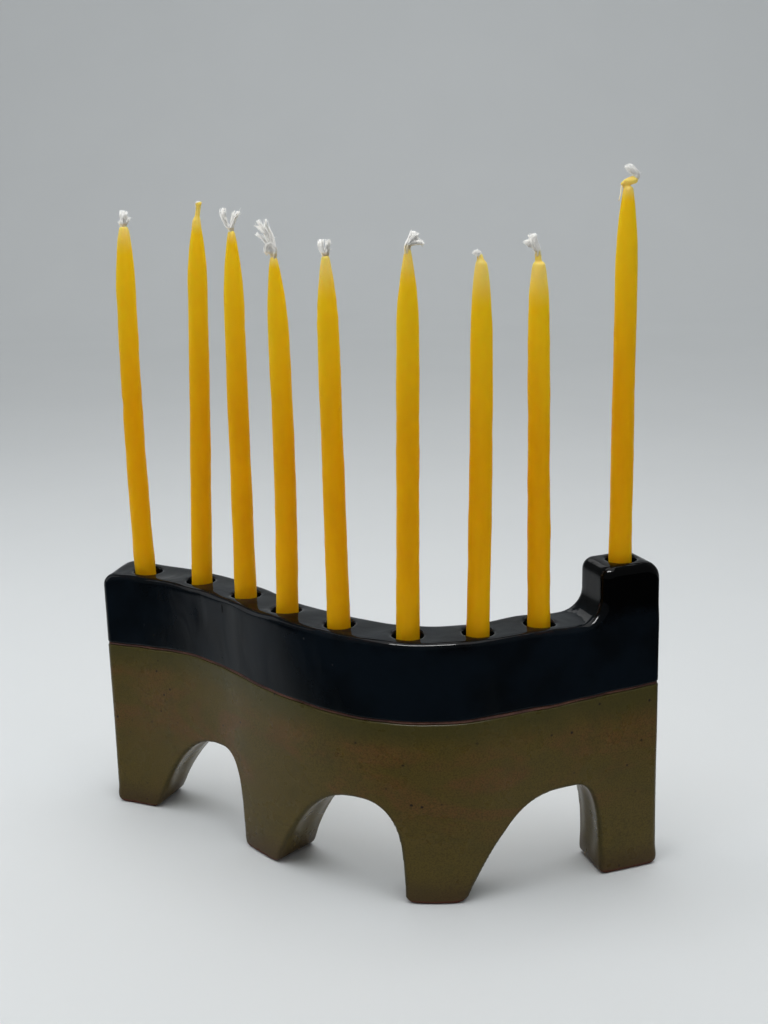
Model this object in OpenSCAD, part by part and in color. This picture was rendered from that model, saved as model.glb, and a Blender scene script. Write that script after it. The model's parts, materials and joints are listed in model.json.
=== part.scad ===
// Ceramic menorah: a thick slab bent into a wave, cut into three arches below and drilled with a
// row of candle sockets along its top, with a raised block at one end for the shamash, the helper
// candle. Each candle stands loose in its socket and lifts out.
// Millimetres. X runs along the chord of the wave, Y to the back and Z up. The origin is on the
// floor, in the middle of the plan. A station is a distance along the slab's middle line.

/* [Slab] */
// Thickness of the slab
slab_t = 23; // [20:0.5:30]
// Height of the rail's top above the floor
rail_h = 114; // [92:1:160]
// Height of the black upper band, from the clay line to the rail's top
band_h = 34; // [24:0.5:42]
// Height of the bare clay line between the two glazes
line_h = 1.2; // [0.8:0.1:2.5]
// How far the clay line is sunk into the slab's faces
line_inset = 0.4; // [0.2:0.1:1]

/* [Wave] */
// Length of the first bend, hollow at the front
bend_1_len = 88; // [68:1:110]
// Turn of the first bend in degrees, towards the front
bend_1_turn = -34; // [-45:1:-10]
// Length of the second bend, a gentle one
bend_2_len = 67; // [52:1:84]
// Turn of the second bend in degrees, towards the back
bend_2_turn = 21; // [8:1:30]
// Length of the third bend, the round bulge at the front
bend_3_len = 53; // [42:1:68]
// Turn of the third bend in degrees, towards the back
bend_3_turn = 55; // [25:1:68]
// Turn of the tail in degrees, towards the front
tail_turn = -2; // [-12:1:-1]

/* [Feet and arches] */
// Width of the first foot
foot_1_w = 24.5; // [18:0.5:32]
// Width of the first arch
arch_1_w = 63.5; // [50:0.5:78]
// Width of the second foot
foot_2_w = 23.5; // [18:0.5:32]
// Width of the second arch
arch_2_w = 60.5; // [50:0.5:74]
// Width of the third foot
foot_3_w = 21.5; // [17:0.5:28]
// Width of the third arch
arch_3_w = 58.5; // [48:0.5:72]
// Width of the last foot, under the shamash
foot_4_w = 28; // [23:0.5:36]
// Height of each arch
arch_h = [42.5, 44, 43.5]; // [32:0.5:54]
// Width of the tight curve on each arch's steep side
shoulder_w = [15.5, 15.5, 11.5]; // [8:0.5:22]
// How round the long side of each arch is, from 2 for a parabola
arch_power = [2.6, 2.4, 3.2]; // [2:0.1:3.6]
// How full the tight curves are, from 0.2 for nearly square to 0.5 for round
shoulder_curve = 0.27; // [0.2:0.01:0.5]
// How much further each side of an arch reaches at the back face
arch_flare = 2; // [0:0.25:4]

/* [Sockets] */
// Bore of the candle sockets
socket_d = 13; // [11.5:0.1:16]
// Depth of the candle sockets
socket_depth = 12; // [9:0.5:18]
// Station of the first socket
first_socket = 19.5; // [14:0.5:26]
// Distance from the last low socket to the shamash's block
last_socket_gap = 24; // [19:0.5:30]

/* [Shamash block] */
// Length of the block along the slab
block_len = 27; // [23:0.5:34]
// Rise of the block above the rail
block_rise = 21.5; // [17.5:0.5:35]
// Radius of the hollow curve where the rail climbs to the block
block_fillet = 9; // [4:0.5:12]

/* [Candles] */
// Diameter of a candle at its foot
candle_d = 9.5; // [8:0.1:10.5]
// Diameter of a candle where its taper starts
neck_d = 8.6; // [7:0.1:9.5]
// Diameter of a candle's tip
tip_d = 3.4; // [2.8:0.1:4.5]
// Length of the taper at a candle's top
taper_len = 32; // [20:1:45]
// Length of the candles' wax, the shamash last
wax_len = [167, 171, 167, 158.5, 160, 164, 158, 156, 161];
// Gap under a candle, so that a leaning one clears the socket's floor
seat_gap = 0.5; // [0.4:0.1:1.5]
// Diameter of the wick
wick_d = 1.6; // [1.2:0.1:2]

/* [Hidden] */
$fn = 96;

// The candles were set by hand: each one's lean to the right and to the back, in degrees
lean_right = [0.4, 3.3, 0.9, 0.2, -0.2, 1.5, 1.2, -0.2, 0.2];
lean_back = [0.5, -0.6, 0.4, -0.4, 0.6, -0.5, 0.3, 0.5, -0.3];
// The wicks' loose ends: length, radius of the frayed tip, and lean to the right in degrees
tuft_len = [7, 5, 9, 13, 7, 7, 5, 10, 9];
tuft_r = [1.6, 1.6, 2.8, 2.2, 1.8, 2.4, 1.3, 2, 2.4];
tuft_lean = [0, 8, 0, -28, 0, 22, -25, -22, 0];
// The sockets were drilled by eye: each one's distance past an even spacing
socket_shift = [0, 1, 2.5, 2, 2.5, 4, 2.5, 0];
low_sockets = len(socket_shift);

// How far cutters run past the faces they cut
past = 1;
// Steps along each arch's two curves
arch_steps = 16;
// How gently the tight curves leave the crown
shoulder_start = 2.2;
// Steps along the slab, for its outline in plan
plan_steps = 120;

slab_len = foot_1_w + arch_1_w + foot_2_w + arch_2_w + foot_3_w + arch_3_w + foot_4_w;
tail_len = slab_len - bend_1_len - bend_2_len - bend_3_len;
line_z = rail_h - band_h;
block_start = slab_len - block_len;
climb_start = block_start - block_fillet;
shamash = slab_len - block_len / 2;
socket_pitch = (block_start - last_socket_gap - first_socket) / (low_sockets - 1);
sockets = concat(
    [for (k = [0:low_sockets - 1]) first_socket + k * socket_pitch + socket_shift[k]],
    [shamash]
);
rims = [for (k = [0:low_sockets]) k < low_sockets ? rail_h : rail_h + block_rise];

arch_w = [arch_1_w, arch_2_w, arch_3_w];
arch_start = [
    foot_1_w,
    foot_1_w + arch_1_w + foot_2_w,
    foot_1_w + arch_1_w + foot_2_w + arch_2_w + foot_3_w
];

// The middle line in plan: four bends that follow each other smoothly
bend_len = [bend_1_len, bend_2_len, bend_3_len, tail_len];
bend_turn = [bend_1_turn, bend_2_turn, bend_3_turn, tail_turn];
function total(list, n) = n == 0 ? 0 : list[n - 1] + total(list, n - 1);
function bend_radius(i) = bend_len[i] * 180 / (PI * bend_turn[i]);
function bend_of(s) = s < total(bend_len, 1) ? 0 : s < total(bend_len, 2) ? 1 : s < total(bend_len, 3) ? 2 : 3;
function heading(s, start) =
    let (i = bend_of(s))
    start + total(bend_turn, i) + bend_turn[i] * (s - total(bend_len, i)) / bend_len[i];
function arc_step(i, from, to) = bend_radius(i) * [sin(to) - sin(from), cos(from) - cos(to)];
function walk(i, start) =
    i == 0 ? [0, 0]
    : walk(i - 1, start)
        + arc_step(i - 1, start + total(bend_turn, i - 1), start + total(bend_turn, i));
function path(s, start) =
    let (i = bend_of(s))
    walk(i, start) + arc_step(i, start + total(bend_turn, i), heading(s, start));

// The wave starts at the heading that puts its two ends on a line along X
far_end = path(slab_len, 0);
start_heading = -atan2(far_end[1], far_end[0]);
function turn_at(s) = heading(s, start_heading);
function to_back(s) = [-sin(turn_at(s)), cos(turn_at(s))];
function station(k) = slab_len * k / plan_steps;
edges = [
    for (k = [0:plan_steps], side = [-1, 1])
        path(station(k), start_heading) + side * slab_t / 2 * to_back(station(k))
];
low = [min([for (p = edges) p[0]]), min([for (p = edges) p[1]])];
high = [max([for (p = edges) p[0]]), max([for (p = edges) p[1]])];
// A point in plan, from its station and its distance behind the middle line
function plan(s, back = 0) = path(s, start_heading) + back * to_back(s) - (low + high) / 2;

// Distance from an arch's start to its crown
function crown(i) = arch_w[i] - shoulder_w[i];
// Height of an arch at a distance past its start: a long slope up to the crown, then a tight shoulder
function arch_top(i, x) =
    x < crown(i)
    ? arch_h[i] * (1 - pow(1 - x / crown(i), arch_power[i]))
    : arch_h[i] * pow(max(0, 1 - pow((x - crown(i)) / shoulder_w[i], shoulder_start)), shoulder_curve);
// Distances past an arch's start, closer together where its curves are steep
function arch_stops(i) = concat(
    [for (k = [0:arch_steps - 1]) crown(i) * (1 - cos(90 * k / arch_steps))],
    [for (k = [0:arch_steps]) crown(i) + shoulder_w[i] * sin(90 * k / arch_steps)]
);

// A stretch of the slab between two stations and two heights, sunk into its faces by inset
module slab(from, to, z, h, inset = 0) {
    reach = slab_t / 2 - inset;
    stops = concat([from], [for (k = [0:plan_steps]) if (station(k) > from && station(k) < to) station(k)], [to]);
    last = len(stops) - 1;
    translate([0, 0, z])
        linear_extrude(h)
        polygon(concat([for (s = stops) plan(s, -reach)], [for (k = [last:-1:0]) plan(stops[k], reach)]));
}

// Puts its children at a station, with X along the slab there and Y towards the back
module at(s, z = 0) {
    translate([plan(s)[0], plan(s)[1], z]) rotate(turn_at(s)) children();
}

// The space under one arch, cut through the slab's thickness and a little wider at the back
module arch_cut(i) {
    stops = arch_stops(i);
    last = len(stops) - 1;
    points = [
        for (x = stops, back = [-past, slab_t + past], z = [-past, arch_top(i, x)])
            let (
                flare = arch_flare * (2 * x / arch_w[i] - 1) * back / slab_t,
                p = plan(arch_start[i] + x + flare, back - slab_t / 2)
            )
            [p[0], p[1], z]
    ];
    // Each stop has four points: front low, front high, back low, back high
    walls = [
        for (k = [0:last - 1])
            let (a = 4 * k, b = a + 4)
            each [
                [a, a + 1, b + 1, b],
                [a + 2, b + 2, b + 3, a + 3],
                [a, b, b + 2, a + 2],
                [a + 1, a + 3, b + 3],
                [a + 1, b + 3, b + 1]
            ]
    ];
    ends = [[0, 2, 3, 1], [4 * last, 4 * last + 1, 4 * last + 3, 4 * last + 2]];
    polyhedron(points = points, faces = concat(walls, ends), convexity = 4);
}

module lower_arcade() {
    color("#4d4429") difference() {
        slab(0, slab_len, 0, line_z);
        for (i = [0:2]) arch_cut(i);
    }
}

module bare_clay_line() {
    color("#6b4030") slab(line_inset, slab_len - line_inset, line_z, line_h, line_inset);
}

// The space above the low rail, up to the hollow curve that climbs to the shamash's block
module above_rail() {
    slab(-past, climb_start, rail_h, block_rise + past, -past);
    at(climb_start, rail_h + block_fillet) {
        rotate([90, 0, 0]) cylinder(h = slab_t + 2 * past, r = block_fillet, center = true);
        translate([-past, -slab_t / 2 - past, 0])
            cube([block_fillet + past, slab_t + 2 * past, block_rise]);
    }
}

module upper_rail() {
    color("#14181c") difference() {
        slab(0, slab_len, line_z + line_h, band_h - line_h + block_rise);
        above_rail();
        for (k = [0:low_sockets])
            at(sockets[k], rims[k] - socket_depth) cylinder(h = socket_depth + past, d = socket_d);
    }
}

// Puts its children at a candle's foot, leaning with the candle
module stand(k) {
    translate([plan(sockets[k])[0], plan(sockets[k])[1], rims[k] - socket_depth + seat_gap])
        rotate([-lean_back[k], lean_right[k], 0])
        children();
}

// A dipped candle: nearly straight, then drawn in to its tip, with the wick's bore down its middle
module candle(k) {
    taper = [
        for (i = [0:10:90])
            [(tip_d + (neck_d - tip_d) * sin(i)) / 2, wax_len[k] - taper_len * i / 90]
    ];
    color("#d79a12") stand(k) rotate_extrude()
        polygon(concat([[candle_d / 2, 0]], [for (i = [9:-1:0]) taper[i]],
            [[wick_d / 2, wax_len[k]], [wick_d / 2, 0]]));
}

// A cotton wick: straight through the wax, then a loose end that frays outwards
module wick(k) {
    color("#f2eee2") stand(k) {
        cylinder(h = wax_len[k], d = wick_d);
        translate([0, 0, wax_len[k]]) {
            sphere(d = wick_d);
            rotate([0, tuft_lean[k], 0]) cylinder(h = tuft_len[k], d1 = wick_d, r2 = tuft_r[k]);
        }
    }
}

lower_arcade();
bare_clay_line();
upper_rail();
for (k = [1:8]) candle(k - 1);
candle(8);  // shamash_candle
for (k = [1:8]) wick(k - 1);
wick(8);  // shamash_wick
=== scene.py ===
"""The looks of a glazed ceramic menorah with nine dipped beeswax candles.

The wall, the candles and the wicks are meshed from smooth shape fields. The wall's field is written for a
straight slab, by station along it, depth through it and height, and its points are then bent into the wave.
Shapes are worked out in millimetres and stored in metres.
"""

import json
import math

import bpy
import numpy as np
from mathutils import Matrix, Vector


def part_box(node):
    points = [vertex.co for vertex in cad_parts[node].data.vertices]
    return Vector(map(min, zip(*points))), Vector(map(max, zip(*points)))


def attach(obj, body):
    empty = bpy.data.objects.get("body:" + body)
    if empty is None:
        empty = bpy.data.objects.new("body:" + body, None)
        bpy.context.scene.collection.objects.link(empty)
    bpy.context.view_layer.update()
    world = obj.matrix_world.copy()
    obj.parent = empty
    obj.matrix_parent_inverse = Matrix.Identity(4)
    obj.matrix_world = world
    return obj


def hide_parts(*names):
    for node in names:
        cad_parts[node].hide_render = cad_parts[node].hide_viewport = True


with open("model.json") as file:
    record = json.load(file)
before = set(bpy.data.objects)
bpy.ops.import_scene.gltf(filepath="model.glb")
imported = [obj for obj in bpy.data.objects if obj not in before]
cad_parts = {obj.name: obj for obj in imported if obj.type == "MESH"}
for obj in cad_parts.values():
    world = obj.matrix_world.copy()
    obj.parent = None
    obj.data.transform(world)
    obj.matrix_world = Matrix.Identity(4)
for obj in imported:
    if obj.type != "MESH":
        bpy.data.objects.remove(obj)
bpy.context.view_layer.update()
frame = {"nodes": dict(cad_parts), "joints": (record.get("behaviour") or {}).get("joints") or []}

MM = 0.001


def box_mm(node):
    """A CAD node's lowest and highest corners in millimetres."""
    low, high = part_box(node)
    return np.array(low) / MM, np.array(high) / MM


# The slab as the CAD has it, in mm: each bend's length and its turn in degrees, the thickness, and the widths
# of the feet and of the arches between them
BENDS = [(88, -34), (67, 21), (53, 55), (72, -2)]
SLAB_T = 23
FEET = [24.5, 23.5, 21.5, 28]
ARCHES = [63.5, 60.5, 58.5]
SLAB_LEN = sum(FEET) + sum(ARCHES)
ARCH_STARTS = [
    sum(FEET[: i + 1]) + sum(ARCHES[:i])
    for i in range(len(ARCHES))
]

# The arches: their heights, the widths of their tight shoulders, the powers that shape the slope and the
# shoulder, and how far each side flares from the front face to the back
ARCH_H = [42.5, 44, 43.5]
SHOULDER_W = [15.5, 15.5, 11.5]
ARCH_POWER = [2.6, 2.4, 3.2]
SHOULDER_START = 2.2
SHOULDER_CURVE = 0.27
ARCH_FLARE = 2

# Heights that the frame gives, then the rail's height and the clay line's depth as the CAD has them
LINE_LOW = box_mm("bare_clay_line")[0][2]
LINE_HIGH = box_mm("bare_clay_line")[1][2]
BLOCK_TOP = box_mm("upper_rail")[1][2]
RAIL_TOP = 114
LINE_INSET = 0.4

# The shamash's block, and the sockets: a little narrower than the CAD's 6.5, as thick glaze leaves them
BLOCK_LEN = 27
BLOCK_START = SLAB_LEN - BLOCK_LEN
BLOCK_FILLET = 9
SOCKET_R = 6.2
SOCKET_DEPTH = 12
SOCKET_FLOOR_R = 1.5

# How round the clay's edges are. The corners seen from the front go from CORNER_R to HIGH_CORNER_R between
# the two heights in CORNER_RISE
END_R = 3.2
CORNER_R = 4
HIGH_CORNER_R = 7.5
CORNER_RISE = (95, 125)
FOOT_R = 3.5
RIM_R = 2.4
BLOCK_R = 4.2
BLOCK_TOP_R = 5
ARCH_R = 1.5
SOCKET_RIM_R = 1.0
LOWER_LIP_R = 0.5
UPPER_LIP_R = 0.6

# How far from an arch or a socket its distance is worked out
REACH = 9.0

# Marks of the hands, by their places along the slab: thumb ripples, a pressed dent (with its height), and a
# dip in the rail's top beside the block
THUMB_AT = 84
DENT_AT = (62, 104)
DIP_AT = 241

# The CAD's candles, their wicks and the bodies that they make up, and the shamash's place in these lists
CANDLES = [f"candle_{k}" for k in range(1, 9)] + ["shamash_candle"]
WICKS = [f"wick_{k}" for k in range(1, 9)] + ["shamash_wick"]
LIGHTS = [f"light_{k}" for k in range(1, 9)] + ["shamash_light"]
SHAMASH = 8

# The camera: place in metres, turn to the left, tilt down and roll in radians, and lens in mm. RIGHT and
# BEHIND are the picture's right and its far side, level with the floor
CAMERA_AT = (0.2013, -0.5849, 0.3213)
CAMERA_TURN = 0.3081
CAMERA_TILT = 0.2641
CAMERA_ROLL = 0.0275
CAMERA_LENS = 54.14
RIGHT = np.array([math.cos(CAMERA_TURN), math.sin(CAMERA_TURN), 0])
BEHIND = np.array([-math.sin(CAMERA_TURN), math.cos(CAMERA_TURN), 0])
UP = np.array([0, 0, 1.0])


# ---------------------------------------------------------------- shape fields


def round_and(a, b, r):
    """What lies in both fields, with an edge of radius r where their surfaces meet."""
    both = np.minimum(np.maximum(a, b), -r)
    return both + np.hypot(np.maximum(a + r, 0), np.maximum(b + r, 0))


def round_or(a, b, r):
    """What lies in either field, with a hollow of radius r where their surfaces meet."""
    return -round_and(-a, -b, r)


def blend_or(a, b, r):
    """Two soft lumps that flow into each other over about r."""
    h = np.clip(0.5 + 0.5 * (b - a) / r, 0, 1)
    return b + (a - b) * h - r * h * (1 - h)


def capsule(p, start, end, r_start, r_end):
    """A rod with round ends whose radius changes from r_start to r_end."""
    start = np.array(start, float)
    along = np.array(end, float) - start
    t = np.clip((p - start) @ along / (along @ along), 0, 1)
    reach = np.linalg.norm(p - start - t[..., None] * along, axis=-1)
    return reach - (r_start + (r_end - r_start) * t)


def ease(x, low, high):
    """0 below low, 1 above high, and smooth between."""
    t = np.clip((x - low) / (high - low), 0, 1)
    return t * t * (3 - 2 * t)


def waves(p, length, seed, count=7):
    """Smooth bumps, mostly between -1 and 1, about length apart, at the places p."""
    draw = np.random.default_rng(seed)
    total = np.zeros(p.shape[:-1])
    for _ in range(count):
        way = draw.normal(size=3)
        way *= 2 * math.pi / (np.linalg.norm(way) * length * draw.uniform(0.75, 1.5))
        total += np.sin(p @ way + draw.uniform(0, 2 * math.pi))
    return total / math.sqrt(count)


def surface(field, xs, ys, zs):
    """Points and quads on a field's zero surface, over a grid whose lines are at xs, ys and zs."""
    lines = (np.asarray(xs, float), np.asarray(ys, float), np.asarray(zs, float))
    grid = np.stack(np.meshgrid(*lines, indexing="ij"), axis=-1)
    value = field(grid)
    inside = value < 0
    cells = tuple(n - 1 for n in value.shape)
    place = np.zeros(cells + (3,))
    count = np.zeros(cells)
    crossings = []
    for axis in range(3):
        low = [slice(None)] * 3
        high = [slice(None)] * 3
        low[axis] = slice(0, -1)
        high[axis] = slice(1, None)
        a, b = value[tuple(low)], value[tuple(high)]
        at = np.argwhere((a < 0) != (b < 0))
        index = tuple(at.T)
        share = a[index] / (a[index] - b[index])
        points = grid[tuple(low)][index]
        steps = np.diff(lines[axis])[at[:, axis]]
        points[:, axis] += share * steps
        crossings.append((at, inside[tuple(low)][index]))
        others = [d for d in range(3) if d != axis]
        for i in (0, 1):
            for j in (0, 1):
                cell = at.copy()
                cell[:, others[0]] -= i
                cell[:, others[1]] -= j
                held = ((cell >= 0) & (cell < cells)).all(axis=1)
                where = tuple(cell[held].T)
                np.add.at(place, where, points[held])
                np.add.at(count, where, 1)
    number = np.full(cells, -1)
    crossed = count > 0
    number[crossed] = np.arange(crossed.sum())
    vertices = place[crossed] / count[crossed][:, None]
    quads = []
    for axis, (at, solid_first) in enumerate(crossings):
        u, v = (axis + 1) % 3, (axis + 2) % 3
        held = (at[:, u] > 0) & (at[:, v] > 0) & (at[:, u] < cells[u]) & (at[:, v] < cells[v])
        at, solid_first = at[held], solid_first[held]
        ring = []
        for i, j in ((1, 1), (0, 1), (0, 0), (1, 0)):
            cell = at.copy()
            cell[:, u] -= i
            cell[:, v] -= j
            ring.append(number[tuple(cell.T)])
        ring = np.stack(ring, axis=1)
        ring[~solid_first] = ring[~solid_first][:, ::-1]
        quads.append(ring)
    return vertices, np.concatenate(quads)


def mesh_piece(name, points_mm, faces, materials, attributes=None):
    """A smooth-shaded mesh object in metres, with point attributes for its materials to read."""
    mesh = bpy.data.meshes.new(name)
    mesh.from_pydata((np.asarray(points_mm) * MM).tolist(), [], [list(f) for f in faces])
    mesh.validate()
    mesh.polygons.foreach_set("use_smooth", [True] * len(mesh.polygons))
    for key, values in (attributes or {}).items():
        kind = "FLOAT" if np.ndim(values) == 1 else "FLOAT_VECTOR"
        layer = mesh.attributes.new(key, kind, "POINT")
        layer.data.foreach_set("value" if kind == "FLOAT" else "vector", np.ravel(values))
    for material in materials:
        mesh.materials.append(material)
    piece = bpy.data.objects.new(name, mesh)
    bpy.context.collection.objects.link(piece)
    return piece


def spaced(*stops):
    """Grid lines from the first stop on: each later (step, end) pair fills up to its end."""
    lines = [stops[0]]
    for step, end in stops[1:]:
        n = max(1, round((end - lines[-1]) / step))
        lines.extend(np.linspace(lines[-1], end, n + 1)[1:])
    return np.array(lines)


# ---------------------------------------------------------------- the ceramic wall


def middle_line(s, start):
    """Places and headings along the slab's middle line, from a starting heading."""
    x = np.zeros_like(s)
    y = np.zeros_like(s)
    heading = np.full_like(s, start)
    done, turned = 0, start
    for i, (length, degrees) in enumerate(BENDS):
        turn = math.radians(degrees)
        first = -np.inf if i == 0 else 0
        last = np.inf if i == len(BENDS) - 1 else length
        run = np.clip(s - done, first, last)
        now = turned + turn * run / length
        x += length / turn * (np.sin(now) - math.sin(turned))
        y += length / turn * (math.cos(turned) - np.cos(now))
        heading += turn * run / length
        done += length
        turned += turn
    return x, y, heading


def start_heading():
    """The heading that puts the slab's two ends on a line along X."""
    x, y, _ = middle_line(np.array([float(SLAB_LEN)]), 0.0)
    return -math.atan2(y[0], x[0])


START = start_heading()


def bent(p, middle=(0, 0)):
    """Points of the straight slab, moved to where the wave puts them."""
    x, y, heading = middle_line(p[..., 0], START)
    return np.stack(
        [x - p[..., 1] * np.sin(heading) - middle[0], y + p[..., 1] * np.cos(heading) - middle[1], p[..., 2]],
        axis=-1,
    )


def plan_middle():
    """The shift that centres the bent slab on the CAD's slab in plan."""
    s = np.linspace(0, SLAB_LEN, 241)
    sides = [np.stack([s, np.full_like(s, v), s * 0], axis=-1) for v in (-SLAB_T / 2, SLAB_T / 2)]
    outline = bent(np.concatenate(sides))
    low, high = box_mm("lower_arcade")
    return ((outline.min(0) + outline.max(0)) / 2 - (low + high) / 2)[:2]


MIDDLE = plan_middle()


def arch_height(i, x):
    """Height of an arch past its start: a long slope up to its crown, then a tight shoulder."""
    crown = ARCHES[i] - SHOULDER_W[i]
    slope = ARCH_H[i] * (1 - np.clip(1 - x / crown, 0, None) ** ARCH_POWER[i])
    past = np.clip((x - crown) / SHOULDER_W[i], 0, 1)
    shoulder = ARCH_H[i] * (1 - past**SHOULDER_START) ** SHOULDER_CURVE
    return np.where(x < crown, slope, shoulder)


def arch_outline(i):
    """Points round an arch's opening, from the floor on its long side to the floor on its steep side."""
    turn = np.linspace(0, math.pi / 2, 30)
    crown = ARCHES[i] - SHOULDER_W[i]
    slope = crown * (1 - np.cos(turn[:-1]))
    shoulder = crown + SHOULDER_W[i] * np.sin(turn)
    x = np.concatenate([slope, shoulder])
    z = arch_height(i, x)
    return np.array([[0, -30], *zip(x, z), [ARCHES[i], -30]])


def arch_gap(p, i, reach=REACH):
    """Distance to an arch's opening, negative in it, and no more than reach."""
    start, width = ARCH_STARTS[i], ARCHES[i]
    back = p[..., 1] / SLAB_T + 0.5
    x = (p[..., 0] - start + ARCH_FLARE * back) / (1 + 2 * ARCH_FLARE * back / width)
    z = p[..., 2]
    gap = np.full(x.shape, reach)
    near = (x > -reach) & (x < width + reach) & (z < ARCH_H[i] + reach)
    q = np.stack([x[near], z[near]], axis=-1)
    outline = arch_outline(i)
    nearest = np.full(len(q), np.inf)
    for a, b in zip(outline[:-1], outline[1:]):
        side = b - a
        t = np.clip((q - a) @ side / (side @ side), 0, 1)
        nearest = np.minimum(nearest, np.linalg.norm(q - a - t[:, None] * side, axis=1))
    under = (q[:, 0] > 0) & (q[:, 0] < width) & (q[:, 1] < arch_height(i, q[:, 0]))
    gap[near] = np.minimum(np.where(under, -nearest, nearest), reach)
    return gap


def knife_ridges(p):
    """Shallow ridges down the arches' soffits, left by the cutting wire."""
    across = p[..., 1] + 0.25 * p[..., 2] + 2.2 * np.sin(p[..., 2] / 9)
    return 0.28 * np.sin(across / 2.1) * ease(p[..., 2], 3, 10)


def foot_of(name):
    """The middle of a CAD candle's lower end."""
    points = np.array([v.co for v in frame["nodes"][name].data.vertices]) / MM
    low = points[:, 2].min()
    ends = points[points[:, 2] < low + 1]
    return (ends.min(0) + ends.max(0)) / 2


SOCKETS = [foot_of(name) for name in CANDLES]


def sockets(p):
    """Distance to the candle sockets, negative in them."""
    place = bent(p, MIDDLE)
    hole = np.full(p.shape[:-1], REACH)
    for k, foot in enumerate(SOCKETS):
        rim = RAIL_TOP if k < SHAMASH else BLOCK_TOP
        bore = np.hypot(place[..., 0] - foot[0], place[..., 1] - foot[1]) - SOCKET_R
        hole = np.minimum(hole, round_and(bore, rim - SOCKET_DEPTH - p[..., 2], SOCKET_FLOOR_R))
    return hole


def swell(p):
    """How far the hand-built faces stand proud of a true slab."""
    slow = 0.22 * waves(p * (1, 0.5, 1), 52, seed=11)
    s, z = p[..., 0], p[..., 2]
    thumb = np.exp(-(((s - THUMB_AT) / 9) ** 2)) * ease(z, LINE_HIGH, RAIL_TOP) * np.sin((s - 70) / 2.6)
    pressed = -0.35 * np.exp(-(((s - DENT_AT[0]) / 5) ** 2) - ((z - DENT_AT[1]) / 7) ** 2)
    front = p[..., 1] < 0
    return slow + np.where(front, 0.07 * thumb + pressed, 0)


def wall_sides(p):
    """The fields whose meeting edges shape the wall: faces, ends, top, floor and arches."""
    s, v, z = p[..., 0], p[..., 1], p[..., 2]
    face = np.abs(v) - SLAB_T / 2 + 0.15 - swell(p)
    end = np.abs(s - SLAB_LEN / 2) - SLAB_LEN / 2 + 0.1
    dip = 0.25 * waves(p * (1, 1, 0), 24, seed=5) + 0.9 * np.exp(-(((s - DIP_AT) / 9) ** 2))
    climb = round_or(z - RAIL_TOP + 0.35 + dip, BLOCK_START - s, BLOCK_FILLET)
    top = round_and(climb, z - BLOCK_TOP + 0.1, BLOCK_TOP_R)
    gaps = [knife_ridges(p) - arch_gap(p, i) for i in range(len(ARCHES))]
    return face, end, top, -z, np.maximum.reduce(gaps)


def face_edge_r(p):
    """How round the faces' edges are: tight round the arches, softer at the rim, the ends and the block."""
    s, z = p[..., 0], p[..., 2]
    r = ARCH_R + (RIM_R - ARCH_R) * ease(z, 55, 90)
    ends = ease(np.abs(s - SLAB_LEN / 2), SLAB_LEN / 2 - 12, SLAB_LEN / 2 - 5) * ease(z, 1, 9)
    r = r + (END_R - r) * ends
    block = ease(s, BLOCK_START - 12, BLOCK_START - 2) * ease(z, RAIL_TOP - 6, RAIL_TOP + 5)
    return r + (BLOCK_R - r) * block


def wall(p):
    """The whole wall, with its soft edges and sockets."""
    face, end, top, floor, gap = wall_sides(p)
    corner_r = CORNER_R + (HIGH_CORNER_R - CORNER_R) * ease(p[..., 2], *CORNER_RISE)
    outline = round_and(np.maximum(top, floor), end, corner_r)
    side = round_and(outline, gap, FOOT_R)
    solid = round_and(face, side, face_edge_r(p))
    if p[..., 2].max() > RAIL_TOP - SOCKET_DEPTH - 3:
        solid = round_and(solid, -sockets(p), SOCKET_RIM_R)
    return solid


def edge_shade(p):
    """1 on the wall's outer edges, falling to 0 about 4 mm away, where glaze runs thin."""
    sides = list(wall_sides(p))
    if p[..., 2].max() > RAIL_TOP:
        sides.append(-sockets(p))
    second = np.sort(np.stack(sides), axis=0)[-2]
    return np.clip(1 + second / 4, 0, 1)


def glaze_rise(p):
    """The points with the hand-cut line between the glazes drawn a little up or down."""
    stations = [0, 60, 150, 225, SLAB_LEN]
    rises = [-1.0, 1.1, -1.0, 0.1, 2.0]
    s = p[:, 0]
    rise = np.zeros_like(s)
    for a, b, low, high in zip(stations, stations[1:], rises, rises[1:]):
        rise = np.where(s >= a, low + (high - low) * ease(s, a, b), rise)
    rise += 0.12 * np.sin(s / 6.3) + 0.08 * np.sin(s / 2.9 + 1)
    middle = (LINE_LOW + LINE_HIGH) / 2
    window = ease(p[:, 2], middle - 24, middle) * (1 - ease(p[:, 2], middle, middle + 22))
    moved = p.copy()
    moved[:, 2] += rise * window
    return moved


def clay_piece(name, field, zs, step, material):
    """One band of the wall, meshed straight, then bent into the wave."""
    along = spaced(-1.5, (step, SLAB_LEN + 1.5))
    through = spaced(-SLAB_T / 2 - 1.4, (step, SLAB_T / 2 + 1.4))
    points, quads = surface(field, along, through, zs)
    place = bent(glaze_rise(points), MIDDLE)
    flat = points * MM
    return mesh_piece(name, place, quads, [material], {"flat": flat, "edge": edge_shade(points)})


def lower_wall(material):
    """The olive-glazed wall with its arches and feet."""
    zs = spaced(-1.2, (0.5, 3), (0.9, LINE_LOW - 2), (0.3, LINE_LOW + 0.6))

    def field(p):
        return round_and(wall(p), p[..., 2] - LINE_LOW, LOWER_LIP_R)

    return clay_piece("glazed_arcade", field, zs, 0.9, material)


def clay_line(material):
    """The thin line of bare clay between the glazes, sunk into the faces."""
    zs = spaced(LINE_LOW - 0.3, (0.2, LINE_HIGH + 0.3))
    middle = (LINE_LOW + LINE_HIGH) / 2

    def field(p):
        return np.maximum(wall(p) + LINE_INSET, np.abs(p[..., 2] - middle) - (LINE_HIGH - LINE_LOW) / 2)

    return clay_piece("clay_line", field, zs, 1.2, material)


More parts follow.
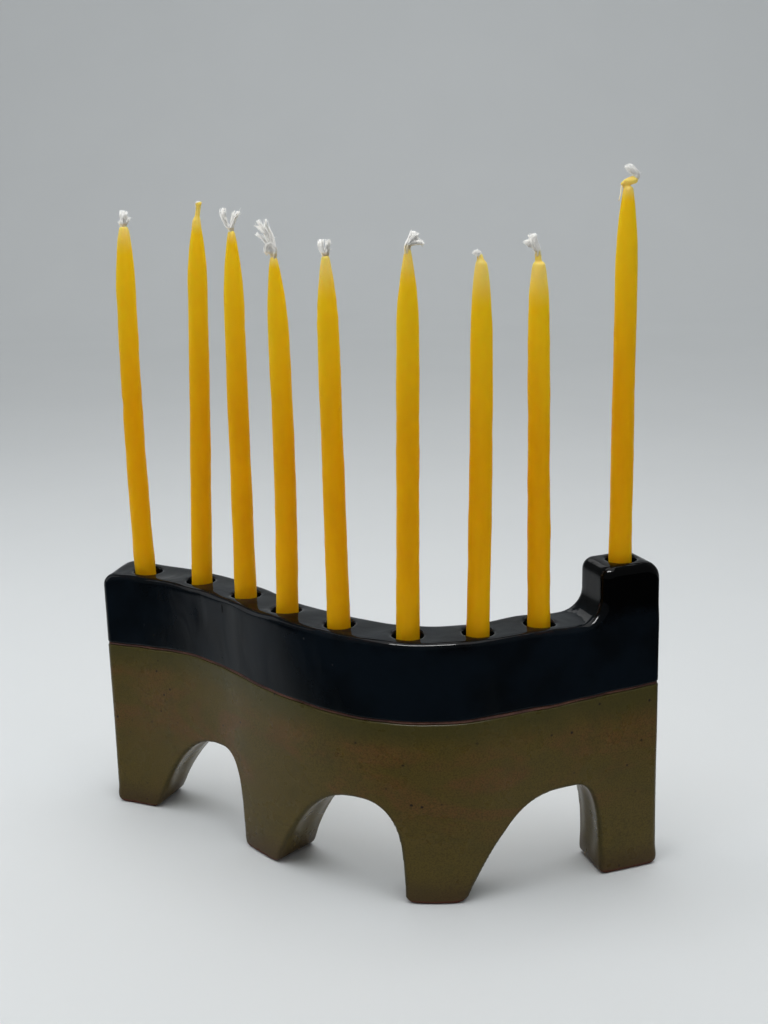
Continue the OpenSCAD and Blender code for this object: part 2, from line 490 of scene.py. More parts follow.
def upper_wall(material):
    """The black-glazed rail with its sockets and the shamash's block."""
    zs = spaced(LINE_HIGH - 0.6, (0.3, LINE_HIGH + 2), (0.9, BLOCK_TOP + 1.2))

    def field(p):
        return round_and(wall(p), LINE_HIGH - p[..., 2], UPPER_LIP_R)

    return clay_piece("glazed_rail", field, zs, 0.9, material)


# ---------------------------------------------------------------- candles

# Each candle's own shape in mm: how far it stands to the picture's right of its CAD axis at its foot, middle
# and tip, its tip's radius, how soon its taper swells below the tip (smaller is blunter), and how far down a
# pale film reaches
CANDLE_SHAPES = [
    dict(shifts=(-1.0, -2.9, -2.1), tip_r=1.3, taper=0.5, bloom=13),
    dict(shifts=(0.0, -0.2, -1.0), tip_r=1.25, taper=0.8, bloom=7),
    dict(shifts=(-0.2, -0.8, -1.2), tip_r=1.3, taper=0.85, bloom=6),
    dict(shifts=(0.0, 1.9, 1.1), tip_r=1.25, taper=0.8, bloom=5),
    dict(shifts=(-0.2, -0.3, -0.4), tip_r=1.4, taper=0.8, bloom=18),
    dict(shifts=(-0.2, -0.2, -0.3), tip_r=1.0, taper=0.9, bloom=15),
    dict(shifts=(-0.5, 0.1, -0.6), tip_r=1.6, taper=0.5, bloom=18),
    dict(shifts=(-0.2, 0.0, 0.2), tip_r=1.7, taper=0.42, bloom=19),
    dict(shifts=(-0.3, 0.0, 0.5), tip_r=1.75, taper=0.8, bloom=6),
]

# Every candle's radius at its foot and below its taper, and its taper's length, then the dents in its wax
CANDLE_R = 4.75
NECK_R = 4.3
TAPER_LEN = 32
PITS = 7
PIT_FROM_AXIS = 4.4


class Stand:
    """Where a candle stands: its foot, its axis and its own bow."""

    def __init__(self, k):
        joint = next(j for j in frame["joints"] if j["child"] == LIGHTS[k])
        self.axis = np.array(joint["axis"])
        self.foot = foot_of(CANDLES[k])
        low, high = box_mm(CANDLES[k])
        self.length = (high[2] - low[2]) / self.axis[2]
        self.right = RIGHT - self.axis * (RIGHT @ self.axis)
        self.right /= np.linalg.norm(self.right)
        self.back = np.cross(self.axis, self.right)
        self.shifts = CANDLE_SHAPES[k]["shifts"]

    def place(self, p):
        """Points from the candle's own frame (right, back, up its axis) to the object's."""
        u = np.clip(p[..., 2] / self.length, -0.1, 1)
        foot, middle, tip = self.shifts
        shift = foot * (1 - u) * (1 - 2 * u) + middle * 4 * u * (1 - u) + tip * u * (2 * u - 1)
        return (
            self.foot
            + (p[..., 0] + shift)[..., None] * self.right
            + p[..., 1:2] * self.back
            + p[..., 2:3] * self.axis
        )


def candle_radius(z, length, shape):
    """Radius of a candle at a height up it: a slight narrowing, then the taper."""
    down = np.clip(length - z, 0, TAPER_LEN)
    straight = CANDLE_R + (NECK_R - CANDLE_R) * np.clip(z / (length - TAPER_LEN), 0, 1)
    swell_up = np.sin(math.pi / 2 * down / TAPER_LEN) ** shape["taper"]
    return shape["tip_r"] + (straight - shape["tip_r"]) * swell_up


def pits(p, length, seed):
    """Small dents that trapped air left in the wax."""
    draw = np.random.default_rng(seed)
    dent = np.zeros(p.shape[:-1])
    for _ in range(PITS):
        turn = draw.uniform(0, 2 * math.pi)
        across = (PIT_FROM_AXIS * math.cos(turn), PIT_FROM_AXIS * math.sin(turn))
        middle = np.array([*across, draw.uniform(8, length - 20)])
        size = draw.uniform(0.9, 1.7)
        dent += draw.uniform(0.15, 0.4) * np.exp(-(((p - middle) / (size, size, 1.5 * size)) ** 2).sum(-1))
    return dent


def tip_lumps(k, p, wax, top):
    """The wax that clings round some of the wicks: k counts the candles from 0, so 8 is the shamash."""
    if k == 1:
        stub = capsule(p, (0, 0, top - 3), (0.8, 0, top + 4.2), 1.15, 1.0)
        flare = capsule(p, (0.8, 0, top + 4), (1.05, 0, top + 7.6), 0.95, 1.6)
        cut = (p - (1.05, 0, top + 6.8)) @ np.array([-0.25, 0, 0.97])
        return blend_or(wax, np.maximum(blend_or(stub, flare, 0.5), cut), 1.6)
    if k == 6:
        bead = capsule(p, (0, 0, top - 2), (-0.6, 0, top + 1.7), 1.8, 1.15)
        return blend_or(wax, bead, 0.8)
    if k == 7:
        neck = capsule(p, (0, 0, top - 4), (-0.4, 0, top + 3.8), 1.5, 1.2)
        return blend_or(wax, neck, 0.3)
    if k == SHAMASH:
        fold = capsule(p, (-1.9, 0.2, top + 0.9), (2.3, -0.4, top + 2.3), 1.15, 1.3)
        over = capsule(p, (-1.2, -0.6, top + 2.0), (1.6, 0.5, top + 3.0), 0.9, 1.0)
        return blend_or(wax, blend_or(fold, over, 0.5), 0.9)
    return wax


def candle(k, material):
    """One dipped candle: its wax, with its waviness, pits and the lumps round its wick."""
    stand = Stand(k)
    shape = CANDLE_SHAPES[k]
    top = stand.length

    def field(p):
        wave = 0.09 * waves(p * (0.6, 0.6, 1), 21, seed=40 + k) + 0.05 * waves(p, 7, seed=60 + k)
        radius = candle_radius(p[..., 2], top, shape)
        body = np.hypot(p[..., 0], p[..., 1] * 1.02) - radius - wave * np.minimum(radius / 4, 1)
        body = round_and(body, -p[..., 2], 0.6)
        body = round_and(body, p[..., 2] - top, min(0.9, shape["tip_r"] * 0.8))
        return tip_lumps(k, p, body, top) + pits(p, top, seed=80 + k)

    across = spaced(-5.7, (0.6, 5.7))
    up = spaced(-0.9, (0.45, 2), (1.3, top - 26), (0.45, top + 8.5))
    points, quads = surface(field, across, across, up)
    along = np.clip(points[:, 2] / top, 0, 1)
    bloom = ease(points[:, 2], top - shape["bloom"], top)
    attributes = {"along": along, "bloom": bloom}
    piece = mesh_piece(f"wax_{LIGHTS[k]}", stand.place(points), quads, [material], attributes)
    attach(piece, LIGHTS[k])
    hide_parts(CANDLES[k])


# ---------------------------------------------------------------- wicks

# Each wick's strands. A strand is its points past the candle's tip (to the picture's right, back and up, in
# mm), its radius, and how far it frays at its end
WICK_STRANDS = [
    [
        ([(0, 0, -4), (0, 0, 0), (0.2, 0, 3.4), (0.7, 0.2, 7.2)], 1.3, 1.6),
        ([(0, 0, -3), (0.5, 0.2, 0.5), (1.4, 0.3, 2.2), (2.3, 0.3, 4.6)], 0.9, 1.5),
        ([(0, 0, -3), (-0.5, 0, 0.4), (-1.4, -0.2, 3.0)], 0.9, 1.3),
    ],
    [
        ([(0.7, 0, 3.4), (0.9, 0, 6), (1.1, 0, 7.3)], 1.0, 1.35),
    ],
    [
        ([(0, 0, -4), (-0.4, 0, 0.6), (-2.0, 0.2, 3.0), (-3.1, 0.2, 6.2), (-2.9, 0, 9.8)], 1.05, 1.25),
        ([(0, 0, -4), (0.4, 0, 0.8), (1.2, 0.3, 3.4), (2.5, 0.3, 6.0), (4.2, 0.4, 7.8)], 0.8, 1.2),
        ([(0, 0, -4), (0.1, 0.3, 0.8), (0.7, 0.6, 4.4), (2.0, 0.7, 8.6)], 0.7, 1.2),
    ],
    [
        (
            [
                (0, 0, -4), (0, 0, 0.5), (0.5, 0, 3.2), (-0.6, 0.2, 8.3),
                (-2.1, 0.3, 11.6), (-2.5, 0.2, 15.2),
            ],
            0.8,
            1.0,
        ),
        (
            [
                (0, 0, -4), (0, 0.3, 0.5), (-0.2, 0.4, 3.6), (-2.0, 0.6, 8.6),
                (-4.2, 0.6, 11.8), (-5.6, 0.5, 14.8),
            ],
            0.75,
            1.0,
        ),
        (
            [
                (0, 0, -4), (-0.4, 0, 0.6), (-1.0, -0.2, 4.0), (-3.0, -0.3, 9.2),
                (-5.2, -0.2, 11.4), (-7.4, 0, 12.4),
            ],
            0.7,
            1.0,
        ),
        (
            [
                (0, 0, -3), (-1.0, -0.3, 1.4), (-2.2, -0.5, 4.8), (-3.9, -0.7, 7.4),
                (-5.2, -0.6, 8.2), (-6.6, -0.5, 9.8),
            ],
            0.6,
            1.3,
        ),
        (
            [
                (0.2, -0.3, -2), (0.6, -0.5, 1.2), (0.9, -0.5, 3.0), (-0.4, -0.6, 4.6),
                (-2.4, -0.5, 4.4), (-2.6, -0.3, 2.2), (-1.2, -0.2, 0.8),
            ],
            0.95,
            0.8,
        ),
    ],
    [
        ([(0, 0, -4), (-0.5, 0, 0.5), (-1.5, 0, 3.2), (-1.6, 0, 6.8)], 1.05, 1.2),
        ([(0, 0, -4), (0.5, 0.1, 0.5), (1.1, 0.1, 3.4), (1.5, 0.1, 6.6)], 0.9, 1.15),
    ],
    [
        ([(0, 0, -4), (0, 0, 0.3), (1.1, 0, 2.2), (2.5, 0.2, 4.4), (3.3, 0.2, 6.0)], 1.45, 1.3),
        ([(0, 0, -3), (0.6, -0.3, 0.7), (2.6, -0.4, 1.7), (4.8, -0.3, 1.7), (6.6, -0.2, 0.9)], 0.85, 1.3),
        ([(0, 0, -3), (0.5, 0.3, 0.8), (2.0, 0.4, 2.4), (4.6, 0.4, 4.2)], 0.95, 1.4),
    ],
    [
        ([(0.3, 0, -3), (-0.4, 0, 0.2), (-1.0, -0.1, 2.6), (-2.0, -0.1, 3.0), (-2.9, -0.1, 1.8)], 1.1, 1.0),
    ],
    [
        ([(-0.4, 0, 2), (-0.5, 0, 4.2), (-1.5, 0, 6.4), (-2.2, 0, 9), (-2.6, 0, 11)], 1.45, 1.35),
        ([(-0.4, 0, 2), (-0.8, 0.2, 4.2), (-2.2, 0.3, 6.0), (-4.3, 0.3, 6.8), (-5.2, 0.2, 6.0)], 1.0, 1.4),
        ([(-0.4, 0, 2), (-0.7, -0.2, 4.2), (-2.0, -0.3, 7.2), (-4.0, -0.3, 9.6)], 1.2, 1.3),
    ],
    [
        (
            [(1.4, 0, 1.8), (3.1, 0, 3.0), (3.5, 0, 4.8), (2.0, 0, 6.0), (0.2, 0, 7.2), (-1.9, 0, 6.6)],
            1.1,
            1.3,
        ),
        ([(1.2, 0.2, 2), (2.8, 0.3, 3.6), (1.8, 0.4, 5.4), (-0.2, 0.3, 6.9)], 0.95, 1.3),
        ([(-1.6, -0.3, 1.6), (-2.6, -0.4, 0.2), (-3.0, -0.4, -2.6), (-3.7, -0.3, -5.4)], 0.33, 1.0),
    ],
]

# How far up each wick wax has soaked, in mm past its candle's tip
SOAK_TOPS = [1.6, 9, 1.6, 2.5, 1.6, 1.6, 2.4, 5.5, 4.0]

# One fibre's radius and sides, the distance between a strand's rings, and its fibres at 0.5 mm radius
FIBRE_R = 0.15
FIBRE_SIDES = 5
RING_EVERY = 0.6
FIBRES = 11

# A strand thinner than SINGLE_R is one tube, and one thicker than HAIRY_R has stray hairs, unless its wick is
# the one that is cut short and waxed over
SINGLE_R = 0.35
HAIRY_R = 0.4
HAIRS = 7
WAXED_OVER = 1

# The wicks' own front light reaches what this collection holds
COTTON_ONLY = "cotton_only"


def smooth_path(points, count):
    """count points along a smooth curve through the given ones (a Catmull-Rom spline)."""
    p = np.array(points, float)
    p = np.concatenate([[2 * p[0] - p[1]], p, [2 * p[-1] - p[-2]]])
    out = []
    for u in np.linspace(0, len(points) - 1, count):
        i = min(int(u), len(points) - 2)
        t = u - i
        a, b, c, d = p[i : i + 4]
        square = (2 * a - 5 * b + 4 * c - d) * t**2
        cube = (3 * b - a - 3 * c + d) * t**3
        out.append(0.5 * (2 * b + (c - a) * t + square + cube))
    return np.array(out)


def side_frames(path):
    """Two directions across a path at each of its points."""
    along = np.gradient(path, axis=0)
    along /= np.linalg.norm(along, axis=1)[:, None]
    first = np.cross(along, (0, 1, 0.001))
    first /= np.linalg.norm(first, axis=1)[:, None]
    return first, np.cross(along, first)


def tube(path, radii, sides, points, faces):
    """Adds a closed tube along a path to the lists points and faces."""
    first, second = side_frames(path)
    base = len(points)
    for i, middle in enumerate(path):
        for j in range(sides):
            turn = 2 * math.pi * j / sides
            points.append(middle + radii[i] * (math.cos(turn) * first[i] + math.sin(turn) * second[i]))
    for i in range(len(path) - 1):
        for j in range(sides):
            a, b = base + i * sides + j, base + i * sides + (j + 1) % sides
            faces.append((a, b, b + sides, a + sides))
    faces.append(tuple(base + j for j in reversed(range(sides))))
    last = base + (len(path) - 1) * sides
    faces.append(tuple(last + j for j in range(sides)))


def strand(line, radius, fray, draw, points, faces):
    """A strand of loose cotton yarn: many fine fibres that twist together and fray at the end."""
    rough = smooth_path(line, 24)
    length = np.linalg.norm(np.diff(rough, axis=0), axis=1).sum()
    count = max(8, int(length / RING_EVERY))
    path = smooth_path(line, count)
    first, second = side_frames(path)
    t = np.linspace(0, 1, count)
    bundle = radius * (0.85 + (fray - 0.85) * t**2)
    fibres = max(1, int(FIBRES * (radius / 0.5) ** 1.4))
    if radius < SINGLE_R:
        tube(path, radius * (1 - 0.4 * t), FIBRE_SIDES, points, faces)
        return
    tube(path[:-1], (0.6 * bundle * (1 - 0.6 * t**3))[:-1], 7, points, faces)
    for _ in range(fibres):
        out = math.sqrt(draw.uniform(0.25, 1))
        turn = draw.uniform(0, 2 * math.pi)
        twist = draw.uniform(0.8, 1.6) + 0.4 * np.sin(6 * t + draw.uniform(0, 6))
        angle = turn + twist * t
        wander = 0.35 * np.sin(t * draw.uniform(5, 13) + draw.uniform(0, 6)) * t
        middle = path + (bundle * out * np.cos(angle) + wander)[:, None] * first
        middle += (bundle * out * np.sin(angle) + wander)[:, None] * second
        keep = max(5, int(count * draw.uniform(0.84, 1.0)))
        thick = FIBRE_R * draw.uniform(0.8, 1.25) * (1 - 0.55 * t[:keep] ** 4)
        tube(middle[:keep], thick, FIBRE_SIDES, points, faces)


def stray_hairs(line, draw, points, faces):
    """A few thin hairs that stand away from a strand's end."""
    path = smooth_path(line, 12)
    for _ in range(HAIRS):
        start = path[draw.integers(4, 11)]
        way = draw.normal(size=3) * (1, 0.6, 0.7) + (0, 0, 0.5)
        way /= np.linalg.norm(way)
        curl = draw.normal(size=3) * 0.5
        reach = draw.uniform(0.9, 2.1)
        hair = [start, start + way * reach * 0.5, start + way * reach + curl * 0.5]
        tube(smooth_path(hair, 7), np.linspace(0.09, 0.045, 7), 4, points, faces)


def wick(k, material):
    """One cotton wick, from just inside its candle's tip to its frayed end."""
    stand = Stand(k)
    draw = np.random.default_rng(200 + k)
    points, faces = [], []
    for line, radius, fray in WICK_STRANDS[k]:
        strand(line, radius, fray, draw, points, faces)
        if radius > HAIRY_R and k != WAXED_OVER:
            stray_hairs(line, draw, points, faces)
    points = np.array(points)
    soak = 1 - ease(points[:, 2], SOAK_TOPS[k] * 0.3, SOAK_TOPS[k])
    tip = stand.place(np.array([0, 0, stand.length]))
    place = tip + points[:, 0:1] * RIGHT + points[:, 1:2] * BEHIND + points[:, 2:3] * UP
    piece = mesh_piece(f"cotton_{LIGHTS[k]}", place, faces, [material], {"soak": soak})
    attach(piece, LIGHTS[k])
    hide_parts(WICKS[k])
    bpy.data.collections[COTTON_ONLY].objects.link(piece)


# ---------------------------------------------------------------- materials


class Paint:
    """A small builder for one procedural material."""

    def __init__(self, name):
        self.material = bpy.data.materials.new(name)
        self.material.use_nodes = True
        self.tree = self.material.node_tree
        self.shader = self.tree.nodes["Principled BSDF"]

    def node(self, kind, **values):
        """A node of this kind. A value that is another node's output is linked, and others are set."""
        made = self.tree.nodes.new(f"ShaderNode{kind}")
        for key, value in values.items():
            if hasattr(made, key):
                setattr(made, key, value)
                continue
            socket = made.inputs[int(key[2:])] if key.startswith("in") else made.inputs[key.replace("_", " ")]
            self.feed(socket, value)
        return made

    def feed(self, socket, value):
        """Links a socket to another node's output, or sets its value."""
        if isinstance(value, bpy.types.NodeSocket):
            self.tree.links.new(value, socket)
        else:
            socket.default_value = value

    def place(self):
        """The object's own coordinates in metres."""
        return self.node("TexCoord").outputs["Object"]

    def attribute(self, name, output="Fac"):
        return self.node("Attribute", attribute_name=name).outputs[output]

    def stretch(self, vector, scale):
        return self.node("Mapping", Vector=vector, Scale=scale).outputs["Vector"]

    def noise(self, vector, scale, detail=3.0, rough=0.55, bend=0.0):
        made = self.node("TexNoise", Vector=vector, Scale=scale, Detail=detail, Roughness=rough)
        made.inputs["Distortion"].default_value = bend
        return made.outputs["Fac"]

    def cells(self, vector, scale):
        return self.node("TexVoronoi", Vector=vector, Scale=scale).outputs["Distance"]

    def span(self, value, low, high, out_low=0.0, out_high=1.0):
        """Maps low..high to out_low..out_high, clamped and smooth."""
        made = self.node("MapRange", interpolation_type="SMOOTHSTEP")
        self.feed(made.inputs["Value"], value)
        made.inputs["From Min"].default_value = low
        made.inputs["From Max"].default_value = high
        made.inputs["To Min"].default_value = out_low
        made.inputs["To Max"].default_value = out_high
        return made.outputs["Result"]

    def math(self, operation, a, b=0.0):
        made = self.node("Math", operation=operation)
        self.feed(made.inputs[0], a)
        self.feed(made.inputs[1], b)
        return made.outputs["Value"]

    def mix(self, share, a, b):
        """From colour a to colour b by share."""
        made = self.node("Mix", data_type="RGBA")
        self.feed(made.inputs["Factor"], share)
        for socket, colour in ((made.inputs[6], a), (made.inputs[7], b)):
            self.feed(socket, colour if isinstance(colour, bpy.types.NodeSocket) else (*colour, 1))
        return made.outputs[2]

    def bump(self, height, strength, distance, normal=None):
        made = self.node("Bump", Height=height, Strength=strength, Distance=distance)
        if normal is not None:
            self.feed(made.inputs["Normal"], normal)
        return made.outputs["Normal"]

    def finish(self, **inputs):
        for key, value in inputs.items():
            self.feed(self.shader.inputs[key.replace("_", " ")], value)
        return self.material


def olive_glaze():
    """Satin olive glaze, mottled with rust and flecked with iron, and wiped off the clay at the floor."""
    paint = Paint("satin_olive_glaze")
    flat = paint.attribute("flat", "Vector")
    edge = paint.attribute("edge")
    height = paint.node("SeparateXYZ", Vector=flat).outputs["Z"]
    olive, moss, rust = (0.098, 0.070, 0.013), (0.070, 0.056, 0.013), (0.128, 0.064, 0.018)
    dark_grain, pale_grain, iron = (0.042, 0.028, 0.006), (0.15, 0.080, 0.030), (0.012, 0.009, 0.006)
    shaded, thick = (0.044, 0.043, 0.012), (0.028, 0.027, 0.010)
    worn, clay = (0.050, 0.026, 0.012), (0.085, 0.026, 0.014)
    drift = paint.noise(paint.stretch(flat, (0.55, 1, 1.2)), 42, 5, 0.62, 0.8)
    belt = paint.math("MULTIPLY", paint.span(height, 0.020, 0.045), paint.span(height, 0.078, 0.060))
    rusty = paint.math("MULTIPLY", paint.span(drift, 0.40, 0.66), paint.math("ADD", belt, 0.25))
    peppered = paint.span(paint.noise(flat, 620, 3, 0.7), 0.36, 0.60, 0.45, 1.0)
    colour = paint.mix(paint.math("MULTIPLY", paint.span(rusty, 0.0, 1.05), peppered), olive, rust)
    colour = paint.mix(paint.span(paint.noise(flat, 95, 4), 0.45, 0.8, 0, 0.6), colour, moss)
    grain = paint.noise(flat, 1500, 3, 0.7)
    colour = paint.mix(paint.span(grain, 0.42, 0.64, 0, 0.6), colour, dark_grain)
    pale = paint.span(paint.noise(flat, 900, 2, 0.6), 0.62, 0.78, 0, 0.35)
    colour = paint.mix(pale, colour, pale_grain)
    shade = paint.math("ADD", height, paint.math("MULTIPLY", paint.noise(flat, 55, 3), 0.012))
    under_line = paint.span(shade, (LINE_LOW - 8) * MM, (LINE_LOW + 4) * MM, 0, 0.6)
    colour = paint.mix(under_line, colour, shaded)
    colour = paint.mix(paint.span(edge, 0.45, 0.95, 0, 0.6), colour, thick)
    flecks = paint.span(paint.cells(flat, 170), 0.13, 0.06)
    fleck = paint.math("MULTIPLY", flecks, paint.span(drift, 0.45, 0.56))
    colour = paint.mix(fleck, colour, iron)
    ragged = paint.math("ADD", height, paint.math("MULTIPLY", paint.noise(flat, 160, 3), 0.0022))
    bare = paint.span(ragged, 0.0032, 0.0022)
    colour = paint.mix(paint.span(ragged, 0.016, 0.003, 0, 0.55), colour, worn)
    colour = paint.mix(bare, colour, clay)
    rough = paint.span(paint.noise(flat, 60, 4), 0.3, 0.7, 0.25, 0.36)
    rough = paint.math("MAXIMUM", rough, paint.math("MULTIPLY", bare, 0.8))
    soft = paint.bump(paint.noise(flat, 130, 2), 0.25, 0.0006)
    fine = paint.bump(paint.math("ADD", grain, paint.math("MULTIPLY", fleck, -1.5)), 0.18, 0.0001, soft)
    return paint.finish(Base_Color=colour, Roughness=rough, Normal=fine, Specular_IOR_Level=0.16)


# A nick under the rim, in the flat slab's coordinates squeezed to (1, 0.2, 0.3), in metres. The mesh has no
# dent there: the glaze is made rougher, and its near-black colour is painted shade
NICK_AT = (0.0795, -0.0023, 0.0327)


def black_glaze():
    """Glossy blue-black glaze that runs thin and brown over the sharpest edges, and blackest on the block.

    Its IOR is lower than a real glaze's, to match the photo's dim reflections.
    """
    paint = Paint("glossy_black_glaze")
    flat = paint.attribute("flat", "Vector")
    edge = paint.attribute("edge")
    deep, blue, brown = (0.0020, 0.0034, 0.0048), (0.0034, 0.0062, 0.0098), (0.030, 0.012, 0.005)
    # The second colour is the nick's near-black: painted shade, as the mesh has no dent there
    black, nick_shade = (0.0004, 0.0005, 0.0006), (0.0004, 0.0004, 0.0005)
    colour = paint.mix(paint.span(paint.noise(flat, 35, 4), 0.35, 0.65), deep, blue)
    height = paint.node("SeparateXYZ", Vector=flat).outputs["Z"]
    run = paint.math("ADD", height, paint.math("MULTIPLY", paint.noise(flat, 60, 4, 0.6), 0.024))
    colour = paint.mix(paint.span(run, 0.122, 0.131), colour, black)
    broken = paint.span(paint.noise(paint.stretch(flat, (1, 1, 2)), 210, 4, 0.65), 0.48, 0.7)
    thin = paint.math("MULTIPLY", paint.span(edge, 0.66, 0.92), broken)
    colour = paint.mix(paint.math("MULTIPLY", thin, 0.8), colour, brown)
    # The nick: rougher glaze, with painted shade in place of a dent that the mesh lacks
    near = paint.node("VectorMath", operation="DISTANCE", in0=paint.stretch(flat, (1, 0.2, 0.3)), in1=NICK_AT)
    nick = paint.span(near.outputs["Value"], 0.0008, 0.0004)
    colour = paint.mix(nick, colour, nick_shade)
    rough = paint.span(paint.noise(flat, 90, 4), 0.3, 0.75, 0.05, 0.11)
    rough = paint.math("MAXIMUM", rough, paint.math("MULTIPLY", nick, 0.7))
    ripple = paint.noise(paint.stretch(flat, (1, 1, 0.45)), 75, 2, 0.4, 0.6)
    soft = paint.bump(ripple, 0.3, 0.0012)
    pinhole = paint.span(paint.cells(flat, 120), 0.055, 0.03)
    fine = paint.bump(paint.math("MULTIPLY", pinhole, -1.0), 0.5, 0.0002, soft)
    return paint.finish(Base_Color=colour, Roughness=rough, Normal=fine, IOR=1.2)


def bare_clay():
    """Bare iron-rich clay, dry and dark, with paler patches: partly its own tone, partly painted highlight.
    """
    paint = Paint("bare_red_clay")
    flat = paint.attribute("flat", "Vector")
    patch = paint.noise(paint.stretch(flat, (1, 1, 0.3)), 70, 4, 0.6)
    # Paler patches at random: partly the clay's own tone, partly painted highlight standing in for the light
    # the line catches
    colour = paint.mix(paint.span(patch, 0.35, 0.7), (0.062, 0.017, 0.010), (0.17, 0.062, 0.036))
    grain = paint.noise(flat, 2200, 2, 0.6)
    colour = paint.mix(paint.span(grain, 0.4, 0.75, 0, 0.4), colour, (0.02, 0.008, 0.005))
    rough = paint.span(grain, 0.3, 0.7, 0.65, 0.85)
    return paint.finish(Base_Color=colour, Roughness=rough, Normal=paint.bump(grain, 0.5, 0.0002))


def beeswax():
    """Deep yellow beeswax: light gets into it, and a paler film lies on its tip."""
    paint = Paint("beeswax")
    place = paint.place()
    along = paint.attribute("along")
    gold, amber, film = (0.87, 0.440, 0.001), (0.82, 0.400, 0.001), (0.93, 0.72, 0.20)
    lower, upper = (0.84, 0.47, 0.003), (0.94, 0.61, 0.008)
    cloud = paint.noise(paint.stretch(place, (1, 1, 0.25)), 150, 4, 0.6)
    colour = paint.mix(paint.span(cloud, 0.3, 0.7), amber, gold)
    colour = paint.mix(paint.span(along, 0.30, 0.0, 0, 0.5), colour, lower)
    colour = paint.mix(paint.span(along, 0.45, 0.95, 0, 0.9), colour, upper)
    bloom = paint.math("MULTIPLY", paint.attribute("bloom"), paint.span(cloud, 0.1, 0.6, 0.5, 0.9))
    colour = paint.mix(bloom, colour, film)
    rough = paint.span(paint.noise(place, 320, 3), 0.3, 0.7, 0.38, 0.52)
    drips = paint.bump(paint.noise(paint.stretch(place, (1, 1, 0.12)), 420, 3, 0.5), 0.22, 0.0004)
    fine = paint.bump(paint.noise(place, 1900, 2, 0.6), 0.12, 0.0001, drips)
    return paint.finish(
        Base_Color=colour, Roughness=rough, Normal=fine, Specular_IOR_Level=0.06,
        Subsurface_Weight=0.75, Subsurface_Radius=(1.0, 0.7, 0.25), Subsurface_Scale=0.0022,
    )


def wick_cotton():
    """White cotton fibre, yellowed where wax has soaked into it."""
    paint = Paint("wick_cotton")
    place = paint.place()
    soak = paint.attribute("soak")
    tone = paint.noise(place, 900, 3, 0.6)
    colour = paint.mix(tone, (1.0, 0.99, 0.95), (0.98, 0.97, 0.92))
    stain = paint.math("MULTIPLY", soak, paint.span(tone, 0.2, 0.7, 0.7, 1.0))
    colour = paint.mix(stain, colour, (0.80, 0.60, 0.24))
    fibre = paint.noise(paint.stretch(place, (1, 1, 0.3)), 6000, 2, 0.6)
    rough = paint.span(tone, 0.2, 0.8, 0.75, 0.95)
    return paint.finish(
        Base_Color=colour, Roughness=rough, Normal=paint.bump(fibre, 0.4, 0.0001),
        Sheen_Weight=1.0, Subsurface_Weight=0.8, Subsurface_Radius=(1, 1, 1), Subsurface_Scale=0.0015,
    )


def paper():
    """Pale grey-white paper with a faint mottle."""
    paint = Paint("studio_paper")
    place = paint.place()
    mottle = paint.noise(place, 6, 3)
    colour = paint.mix(mottle, (0.705, 0.73, 0.74), (0.74, 0.765, 0.775))
    tooth = paint.noise(place, 1400, 2)
    return paint.finish(
        Base_Color=colour, Roughness=paint.span(mottle, 0, 1, 0.75, 0.9),
        Normal=paint.bump(tooth, 0.08, 0.0002), Specular_IOR_Level=0.0,
    )


# ---------------------------------------------------------------- studio


def studio_sweep(material):
    """A floor that curves up into a backdrop well behind the object."""
    front, reach, radius, height, half, steps = -9.0, 1.6, 0.8, 2.2, 8.0, 24
    profile = [(front, 0.0), (0.0, 0.0), (reach, 0.0)]
    for i in range(1, steps + 1):
        turn = math.pi / 2 * i / steps
        profile.append((reach + radius * math.sin(turn), radius * (1 - math.cos(turn))))
    profile.append((reach + radius, height))
    turned = Matrix.Rotation(CAMERA_TURN, 3, "Z")
    points = []
    for y, z in profile:
        for x in (-half, half):
            points.append(tuple(turned @ Vector((x, y, z))))
    faces = [(2 * i, 2 * i + 1, 2 * i + 3, 2 * i + 2) for i in range(len(profile) - 1)]
    mesh = bpy.data.meshes.new("studio_sweep")
    mesh.from_pydata(points, [], faces)
    mesh.polygons.foreach_set("use_smooth", [True] * len(mesh.polygons))
    mesh.materials.append(material)
    sweep = bpy.data.objects.new("studio_sweep", mesh)
    bpy.context.collection.objects.link(sweep)


def softbox(name, place, aim, size, watts, colour=(1, 1, 1)):
    """A soft rectangular light that the camera doesn't see."""
    data = bpy.data.lights.new(name, "AREA")
    data.shape = "RECTANGLE"
    data.size, data.size_y = size
    data.energy = watts
    data.color = colour
    light = bpy.data.objects.new(name, data)
    light.location = place
    light.rotation_mode = "QUATERNION"
    light.rotation_quaternion = (Vector(aim) - Vector(place)).to_track_quat("-Z", "Y")
    light.visible_camera = False
    bpy.context.collection.objects.link(light)
    return light


def dark_card():
    """A dark card on the floor, which only shows in what the glazes reflect, so that they stay dark."""
    corners = [(-1.4, -1.4), (1.4, -1.4), (1.4, 0.4), (0.14, 0.4), (0.14, -0.05), (-1.4, -0.02)]
    mesh = bpy.data.meshes.new("dark_card")
    mesh.from_pydata([(x, y, 0.001) for x, y in corners], [], [tuple(range(len(corners)))])
    paint = Paint("dark_card")
    place = paint.node("SeparateXYZ", Vector=paint.place())
    front = paint.span(place.outputs["Y"], -0.04, -0.19)
    right = paint.span(place.outputs["X"], 0.16, 0.28)
    tone = paint.noise(paint.place(), 9, 2)
    mesh.materials.append(paint.finish(
        Base_Color=paint.mix(tone, (0.006, 0.006, 0.006), (0.012, 0.012, 0.013)),
        Roughness=paint.span(tone, 0, 1, 0.8, 0.95), Normal=paint.bump(tone, 0.1, 0.0002),
        Alpha=paint.math("MAXIMUM", front, right),
    ))
    card = bpy.data.objects.new("dark_card", mesh)
    card.visible_camera = False
    card.visible_diffuse = False
    card.visible_shadow = False
    bpy.context.collection.objects.link(card)


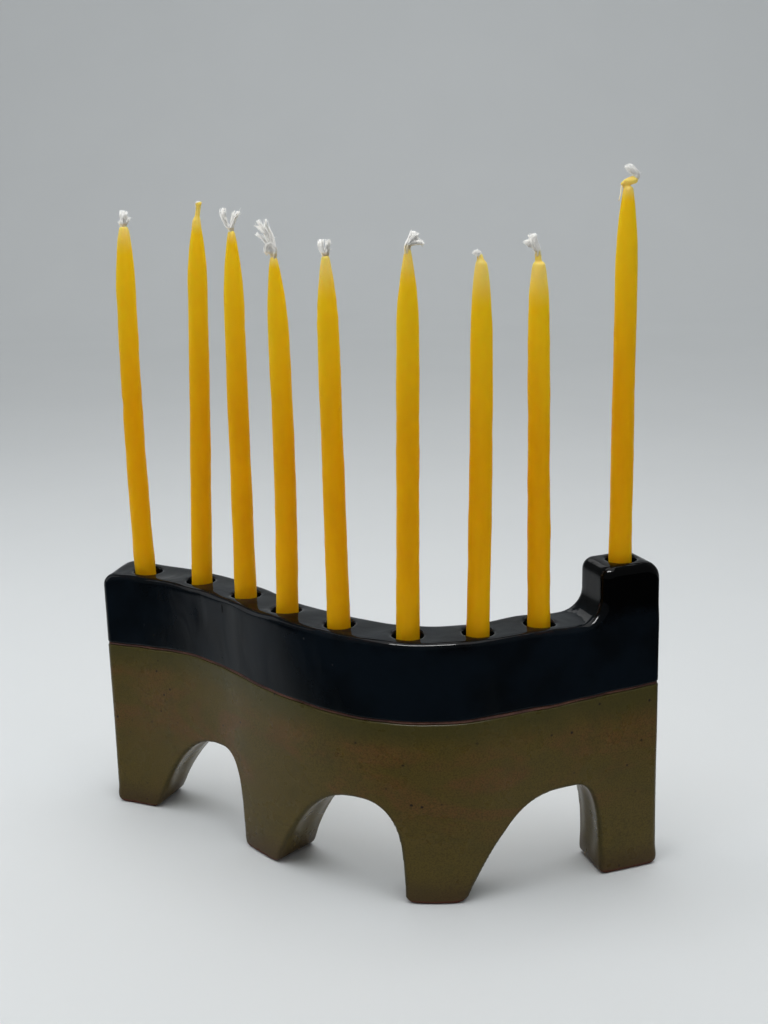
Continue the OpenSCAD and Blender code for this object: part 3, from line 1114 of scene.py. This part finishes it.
def studio_lights():
    """Softboxes, and dim light all round.

    The glint only lights what is glossy, for the rims' highlights, and the front fill only the wicks.
    """
    softbox("overhead", (0.02, -0.06, 1.0), (0, 0, 0), (1.0, 1.0), 8.8)
    softbox("left", (-0.80, -0.05, 0.42), (-0.2, 0, 0.02), (0.35, 0.6), 0.9, (0.96, 0.98, 1))
    softbox("backdrop", (-0.60, 1.85, 1.60), (-0.62, 2.05, 0.0), (3.0, 0.6), 9)
    glint = softbox("glint", (0.05, -0.35, 0.85), (0, 0, 0.1), (0.5, 0.14), 12)
    glint.visible_diffuse = False
    fill = softbox("cotton_fill", (-0.25, -0.80, 0.60), (0, 0, 0.24), (0.5, 0.5), 3.4, (1, 0.98, 0.94))
    fill.light_linking.receiver_collection = bpy.data.collections.new(COTTON_ONLY)
    world = bpy.data.worlds.new("room")
    world.use_nodes = True
    back = world.node_tree.nodes["Background"]
    back.inputs["Color"].default_value = (0.84, 0.86, 0.87, 1)
    back.inputs["Strength"].default_value = 0.31
    bpy.context.scene.world = world
    bpy.context.scene.view_settings.view_transform = "Standard"


def camera():
    """The camera at the photograph's angle."""
    data = bpy.data.cameras.new("camera")
    data.lens = CAMERA_LENS
    data.clip_start = 0.01
    data.clip_end = 20
    level = Matrix.Rotation(CAMERA_TURN, 4, "Z")
    tilt = Matrix.Rotation(math.pi / 2 - CAMERA_TILT, 4, "X")
    roll = Matrix.Rotation(-CAMERA_ROLL, 4, "Z")
    made = bpy.data.objects.new("camera", data)
    made.matrix_world = Matrix.Translation(CAMERA_AT) @ level @ tilt @ roll
    bpy.context.collection.objects.link(made)
    bpy.context.scene.camera = made


# ---------------------------------------------------------------- the whole object

camera()
studio_lights()
studio_sweep(paper())
dark_card()

for made, node, slot in (
    (lower_wall(olive_glaze()), "lower_arcade", "olive_glaze"),
    (clay_line(bare_clay()), "bare_clay_line", "bare_clay"),
    (upper_wall(black_glaze()), "upper_rail", "black_glaze"),
):
    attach(made, "holder")
    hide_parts(node)

wax = beeswax()
cotton = wick_cotton()
for k in range(len(LIGHTS)):
    candle(k, wax)
    wick(k, cotton)
